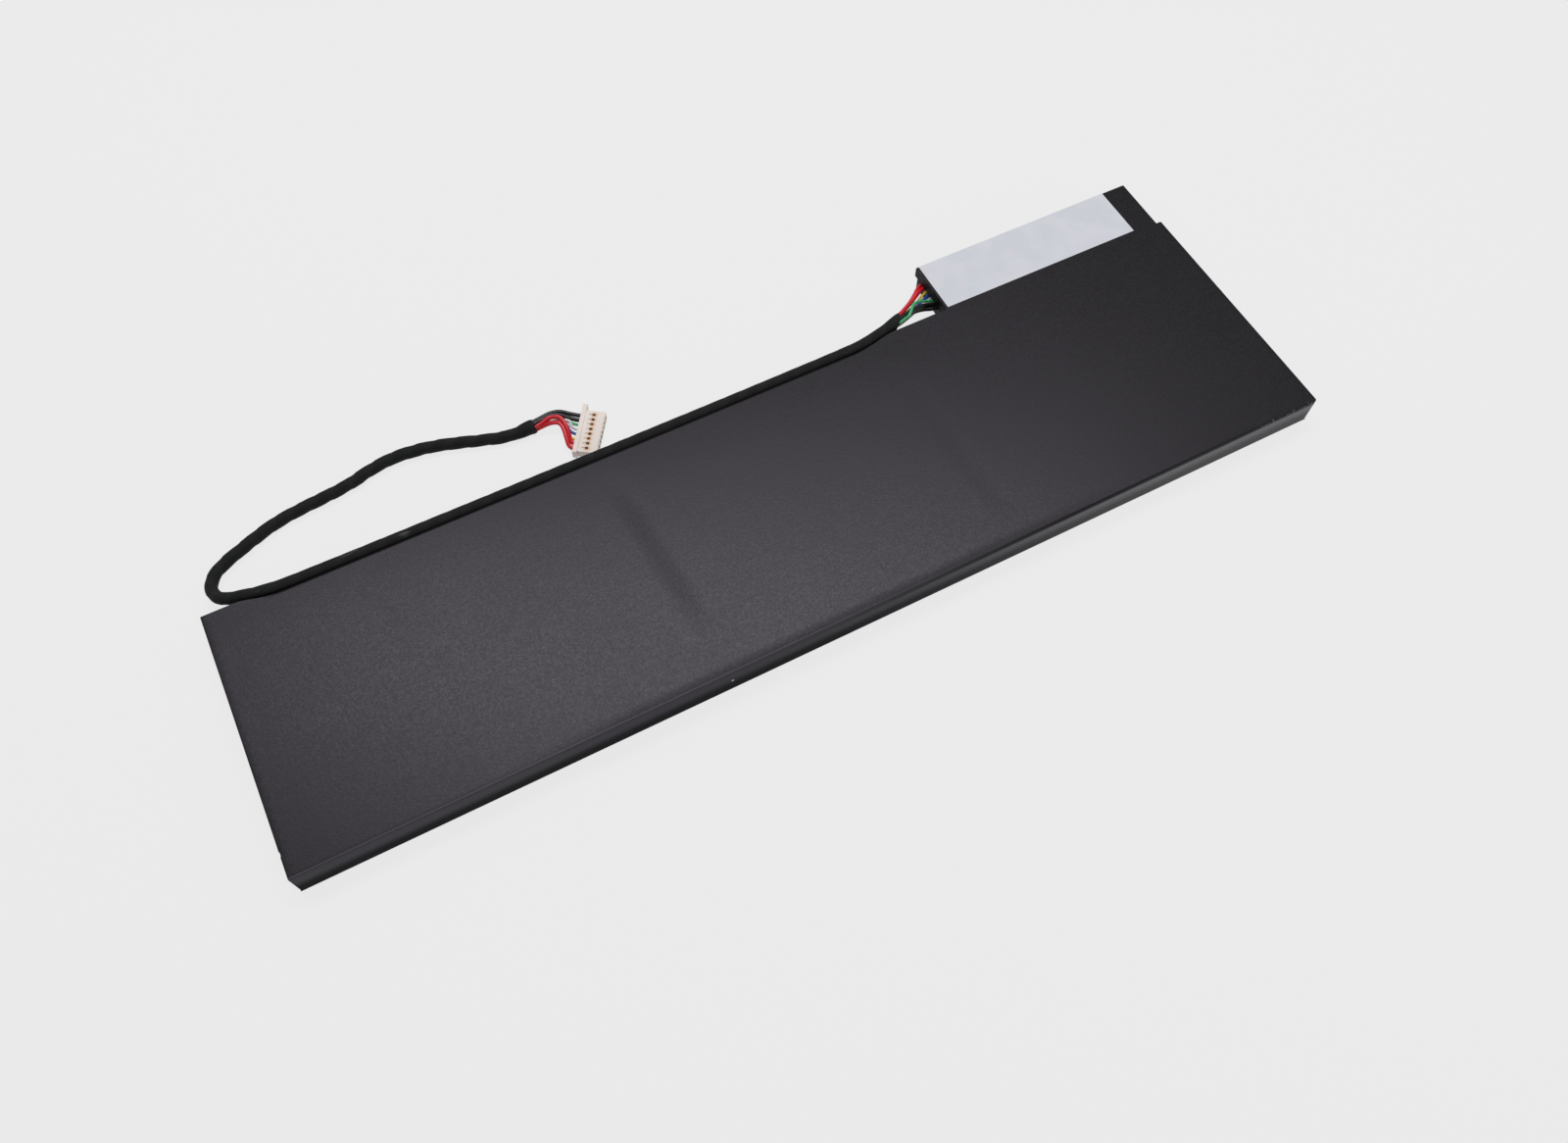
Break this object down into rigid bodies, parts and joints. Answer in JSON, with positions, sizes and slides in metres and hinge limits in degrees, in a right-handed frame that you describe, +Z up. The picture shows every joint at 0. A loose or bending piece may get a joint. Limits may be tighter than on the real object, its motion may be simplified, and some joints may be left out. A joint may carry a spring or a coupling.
{
  "type": "laptop battery",
  "caption": "Flat internal laptop battery: pouch cells in a moulded frame under black film, a board bay at one corner, and a sleeved cable along the back edge to a wire plug.",
  "frame": {"origin": "under the middle of the pack's outline, on the surface it lies on; the loose cable isn't counted", "axes": "+X along the pack towards the board bay's end, +Y towards the board bay at the back, +Z up out of the film"},
  "size_m": [0.274, 0.0983, 0.0091],
  "materials": {
    "film": "satin with a fine grain",
    "moulding": "satin",
    "label": "matt",
    "pouch": "laminated foil",
    "tape": "matt",
    "nickel": "plain",
    "tab_aluminium": "plain",
    "foam": "matt",
    "board": "solder mask",
    "chip": "moulded",
    "passive": "plain",
    "sleeve": "wrapped cloth tape",
    "wire_red": "smooth",
    "wire_yellow": "smooth",
    "wire_blue": "smooth",
    "wire_white": "smooth",
    "wire_green": "smooth",
    "wire_black": "smooth",
    "plug": "moulded nylon",
    "contact": "plated"
  },
  "bodies": {
    "root": {"top_film": "film", "bottom_film": "film", "frame": "moulding", "board_cover": "moulding", "label": "label", "cell_left": "pouch", "cell_tape_left": "tape", "tab_left_negative": "nickel", "tab_left_positive": "tab_aluminium", "tab_pad_left": "foam", "cell_middle": "pouch", "cell_tape_middle": "tape", "tab_middle_negative": "nickel", "tab_middle_positive": "tab_aluminium", "tab_pad_middle": "foam", "cell_right": "pouch", "cell_tape_right": "tape", "tab_right_negative": "nickel", "tab_right_positive": "tab_aluminium", "tab_pad_right": "foam", "link_left": "nickel", "link_right": "nickel", "tap_strip": "nickel", "positive_strip": "nickel", "negative_strip": "nickel", "tap_wire": "wire_white", "board": "board", "gauge_chip": "chip", "protection_chip": "chip", "charge_switch": "chip", "discharge_switch": "chip", "fuse": "chip", "sense_resistor": "chip", "thermistor": "passive", "capacitors": "passive", "cable_sleeve": "sleeve", "board_wire_red_a": "wire_red", "plug_wire_red_a": "wire_red", "board_wire_red_b": "wire_red", "plug_wire_red_b": "wire_red", "board_wire_yellow": "wire_yellow", "plug_wire_yellow": "wire_yellow", "board_wire_blue": "wire_blue", "plug_wire_blue": "wire_blue", "board_wire_white": "wire_white", "plug_wire_white": "wire_white", "board_wire_green": "wire_green", "plug_wire_green": "wire_green", "board_wire_black_a": "wire_black", "plug_wire_black_a": "wire_black", "board_wire_black_b": "wire_black", "plug_wire_black_b": "wire_black", "plug_housing": "plug", "plug_contacts": "contact"}
  },
  "joints": []
}
